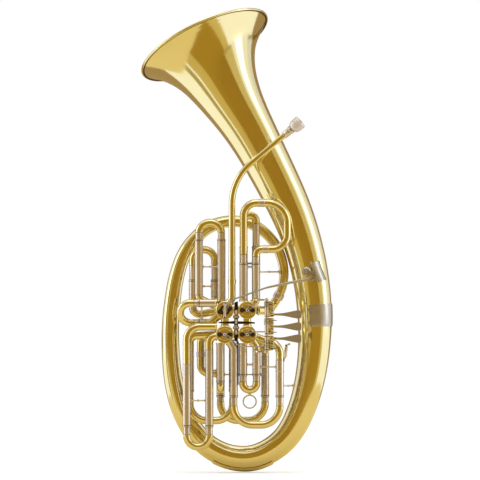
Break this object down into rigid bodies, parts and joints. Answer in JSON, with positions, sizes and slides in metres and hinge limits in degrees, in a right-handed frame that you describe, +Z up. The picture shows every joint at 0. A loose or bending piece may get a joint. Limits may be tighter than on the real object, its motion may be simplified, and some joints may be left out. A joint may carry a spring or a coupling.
{
  "type": "wagner tuba",
  "caption": "Double wagner tuba: an oval of conical brass tube with a leaning bell, rotary valves with finger and thumb levers, tuning slides and a funnel mouthpiece.",
  "frame": {"origin": "lowest point of the guard under the bottom bow, in the plane of the oval tube", "axes": "+Z up from the bottom bow towards the bell, +X to the right as seen from the valve side, +Y away from the valve side"},
  "size_m": [0.3384, 0.2684, 0.8177],
  "materials": {
    "lacquered_brass": "clear lacquer over polished yellow brass",
    "nickel": "polished nickel silver, warm grey",
    "silver": "polished silver plate",
    "steel": "bare turned steel"
  },
  "bodies": {
    "horn": {"bell": "lacquered_brass", "bottom_bow": "lacquered_brass", "left_branch": "lacquered_brass", "inner_bow": "lacquered_brass", "valve_entry_tube": "lacquered_brass", "main_tuning_slide_sleeves": "nickel", "rear_tuning_slide_sleeves": "nickel", "upper_left_slide_sleeves": "nickel", "rear_left_slide_sleeves": "nickel", "lower_left_slide_sleeves": "nickel", "rear_low_slide_sleeves": "nickel", "ring_slide_sleeves": "nickel", "short_slide_sleeves": "nickel", "rear_wide_slide_left_sleeve": "nickel", "middle_sleeve_pair": "nickel", "lower_wide_slide_right_sleeve": "nickel", "side_slide_sleeves": "nickel", "rear_pass_tube": "lacquered_brass", "leadpipe": "lacquered_brass", "mouthpiece_receiver": "nickel", "hand_guard": "nickel", "bow_guard": "nickel", "top_left_valve_casing": "lacquered_brass", "top_right_valve_casing": "lacquered_brass", "low_left_valve_casing": "lacquered_brass", "low_right_valve_casing": "lacquered_brass", "top_left_valve_cap": "lacquered_brass", "top_right_valve_cap": "lacquered_brass", "low_left_valve_cap": "lacquered_brass", "low_right_valve_cap": "lacquered_brass", "valve_post": "nickel", "lever_frame": "nickel", "first_spring": "steel", "second_spring": "steel", "third_spring": "steel", "thumb_post": "nickel"},
    "main_tuning_slide": {"main_tuning_slide_bow": "lacquered_brass"},
    "rear_tuning_slide": {"rear_tuning_slide_bow": "lacquered_brass"},
    "upper_left_slide": {"upper_left_slide_bow": "lacquered_brass"},
    "rear_left_slide": {"rear_left_slide_bow": "lacquered_brass"},
    "side_slide": {"side_slide_bow": "lacquered_brass"},
    "lower_left_slide": {"lower_left_slide_bow": "lacquered_brass"},
    "rear_wide_slide": {"rear_wide_slide_bow": "lacquered_brass"},
    "rear_low_slide": {"rear_low_slide_bow": "lacquered_brass"},
    "lower_wide_slide": {"lower_wide_slide_bow": "lacquered_brass"},
    "ring_slide": {"ring_slide_bow": "lacquered_brass"},
    "short_slide": {"short_slide_bow": "lacquered_brass"},
    "mouthpiece": {"mouthpiece": "silver"},
    "first_lever": {"first_lever": "nickel"},
    "top_right_rotor": {"top_right_valve_rotor": "steel"},
    "first_link": {"first_link": "nickel"},
    "second_lever": {"second_lever": "nickel"},
    "low_right_rotor": {"low_right_valve_rotor": "steel"},
    "second_link": {"second_link": "nickel"},
    "third_lever": {"third_lever": "nickel"},
    "low_left_rotor": {"low_left_valve_rotor": "steel"},
    "third_link": {"third_link": "nickel"},
    "thumb_lever": {"thumb_lever": "nickel"},
    "top_left_rotor": {"top_left_valve_rotor": "steel"},
    "change_link": {"change_link": "nickel"}
  },
  "joints": [
    {"name": "main_tuning_slide_pull", "type": "slide", "parent": "horn", "child": "main_tuning_slide", "axis": [0, 0, 1], "range_m": [0, 0.04]},
    {"name": "rear_tuning_slide_pull", "type": "slide", "parent": "horn", "child": "rear_tuning_slide", "axis": [0, 0, 1], "range_m": [0, 0.04]},
    {"name": "upper_left_slide_pull", "type": "slide", "parent": "horn", "child": "upper_left_slide", "axis": [0, 0, 1], "range_m": [0, 0.06]},
    {"name": "rear_left_slide_pull", "type": "slide", "parent": "horn", "child": "rear_left_slide", "axis": [0, 0, 1], "range_m": [0, 0.011]},
    {"name": "side_slide_pull", "type": "slide", "parent": "horn", "child": "side_slide", "axis": [-1, 0, 0], "range_m": [0, 0.012]},
    {"name": "lower_left_slide_pull", "type": "slide", "parent": "horn", "child": "lower_left_slide", "axis": [0, 0, -1], "range_m": [0, 0.05]},
    {"name": "rear_wide_slide_pull", "type": "slide", "parent": "horn", "child": "rear_wide_slide", "axis": [0, 0, -1], "range_m": [0, 0.04]},
    {"name": "rear_low_slide_pull", "type": "slide", "parent": "horn", "child": "rear_low_slide", "axis": [0, 0, -1], "range_m": [0, 0.022]},
    {"name": "lower_wide_slide_pull", "type": "slide", "parent": "horn", "child": "lower_wide_slide", "axis": [0, 0, -1], "range_m": [0, 0.04]},
    {"name": "ring_slide_pull", "type": "slide", "parent": "horn", "child": "ring_slide", "axis": [0, 0, -1], "range_m": [0, 0.02]},
    {"name": "short_slide_pull", "type": "slide", "parent": "horn", "child": "short_slide", "axis": [0, 0, -1], "range_m": [0, 0.02]},
    {"name": "mouthpiece_pull", "type": "slide", "parent": "horn", "child": "mouthpiece", "axis": [0.7632, -0.1377, 0.6313], "range_m": [0, 0.012]},
    {"name": "first_lever_turn", "type": "hinge", "parent": "horn", "child": "first_lever", "pos_m": [0.0402, -0.08484, 0.29045], "axis": [0, 0, 1], "range_deg": [0, 23.8], "stiffness_Nm_per_rad": 0.12, "springref_deg": -34.38},
    {"name": "top_right_rotor_turn", "type": "hinge", "parent": "horn", "child": "top_right_rotor", "pos_m": [0.0064, -0.058, 0.2855], "axis": [0, -1, 0], "range_deg": [0, 90]},
    {"name": "first_link_turn", "type": "hinge", "parent": "top_right_rotor", "child": "first_link", "pos_m": [0.01135, -0.0611, 0.29045], "axis": [0, 1, 0], "range_deg": [0, 90]},
    {"name": "second_lever_turn", "type": "hinge", "parent": "horn", "child": "second_lever", "pos_m": [0.0402, -0.08484, 0.24765], "axis": [0, 0, 1], "range_deg": [0, 23.8], "stiffness_Nm_per_rad": 0.12, "springref_deg": -34.38},
    {"name": "low_right_rotor_turn", "type": "hinge", "parent": "horn", "child": "low_right_rotor", "pos_m": [0.0064, -0.058, 0.2427], "axis": [0, -1, 0], "range_deg": [0, 90]},
    {"name": "second_link_turn", "type": "hinge", "parent": "low_right_rotor", "child": "second_link", "pos_m": [0.01135, -0.0611, 0.24765], "axis": [0, 1, 0], "range_deg": [0, 90]},
    {"name": "third_lever_turn", "type": "hinge", "parent": "horn", "child": "third_lever", "pos_m": [0.0402, -0.08484, 0.2218], "axis": [0, 0, 1], "range_deg": [0, 23.8], "stiffness_Nm_per_rad": 0.12, "springref_deg": -34.38},
    {"name": "low_left_rotor_turn", "type": "hinge", "parent": "horn", "child": "low_left_rotor", "pos_m": [-0.033, -0.058, 0.2427], "axis": [0, 1, 0], "range_deg": [0, 90]},
    {"name": "third_link_turn", "type": "hinge", "parent": "low_left_rotor", "child": "third_link", "pos_m": [-0.02805, -0.0611, 0.23775], "axis": [0, -1, 0], "range_deg": [0, 90]},
    {"name": "thumb_lever_turn", "type": "hinge", "parent": "horn", "child": "thumb_lever", "pos_m": [0.11, -0.058, 0.3537], "axis": [0, 1, 0], "range_deg": [0, 41.41], "stiffness_Nm_per_rad": 0.1, "springref_deg": -28.65},
    {"name": "top_left_rotor_turn", "type": "hinge", "parent": "horn", "child": "top_left_rotor", "pos_m": [-0.033, -0.058, 0.2855], "axis": [0, -1, 0], "range_deg": [0, 90]},
    {"name": "change_link_turn", "type": "hinge", "parent": "top_left_rotor", "child": "change_link", "pos_m": [-0.02985, -0.0611, 0.29175], "axis": [0, 1, 0], "range_deg": [0, 90]}
  ],
  "couplings": [
    {"joint": "top_right_rotor_turn", "follows": "first_lever_turn", "ratio": 3.781},
    {"joint": "first_link_turn", "follows": "first_lever_turn", "ratio": 3.781},
    {"joint": "low_right_rotor_turn", "follows": "second_lever_turn", "ratio": 3.781},
    {"joint": "second_link_turn", "follows": "second_lever_turn", "ratio": 3.781},
    {"joint": "low_left_rotor_turn", "follows": "third_lever_turn", "ratio": 3.781},
    {"joint": "third_link_turn", "follows": "third_lever_turn", "ratio": 3.781},
    {"joint": "top_left_rotor_turn", "follows": "thumb_lever_turn", "ratio": 2.173},
    {"joint": "change_link_turn", "follows": "thumb_lever_turn", "ratio": 2.173}
  ]
}
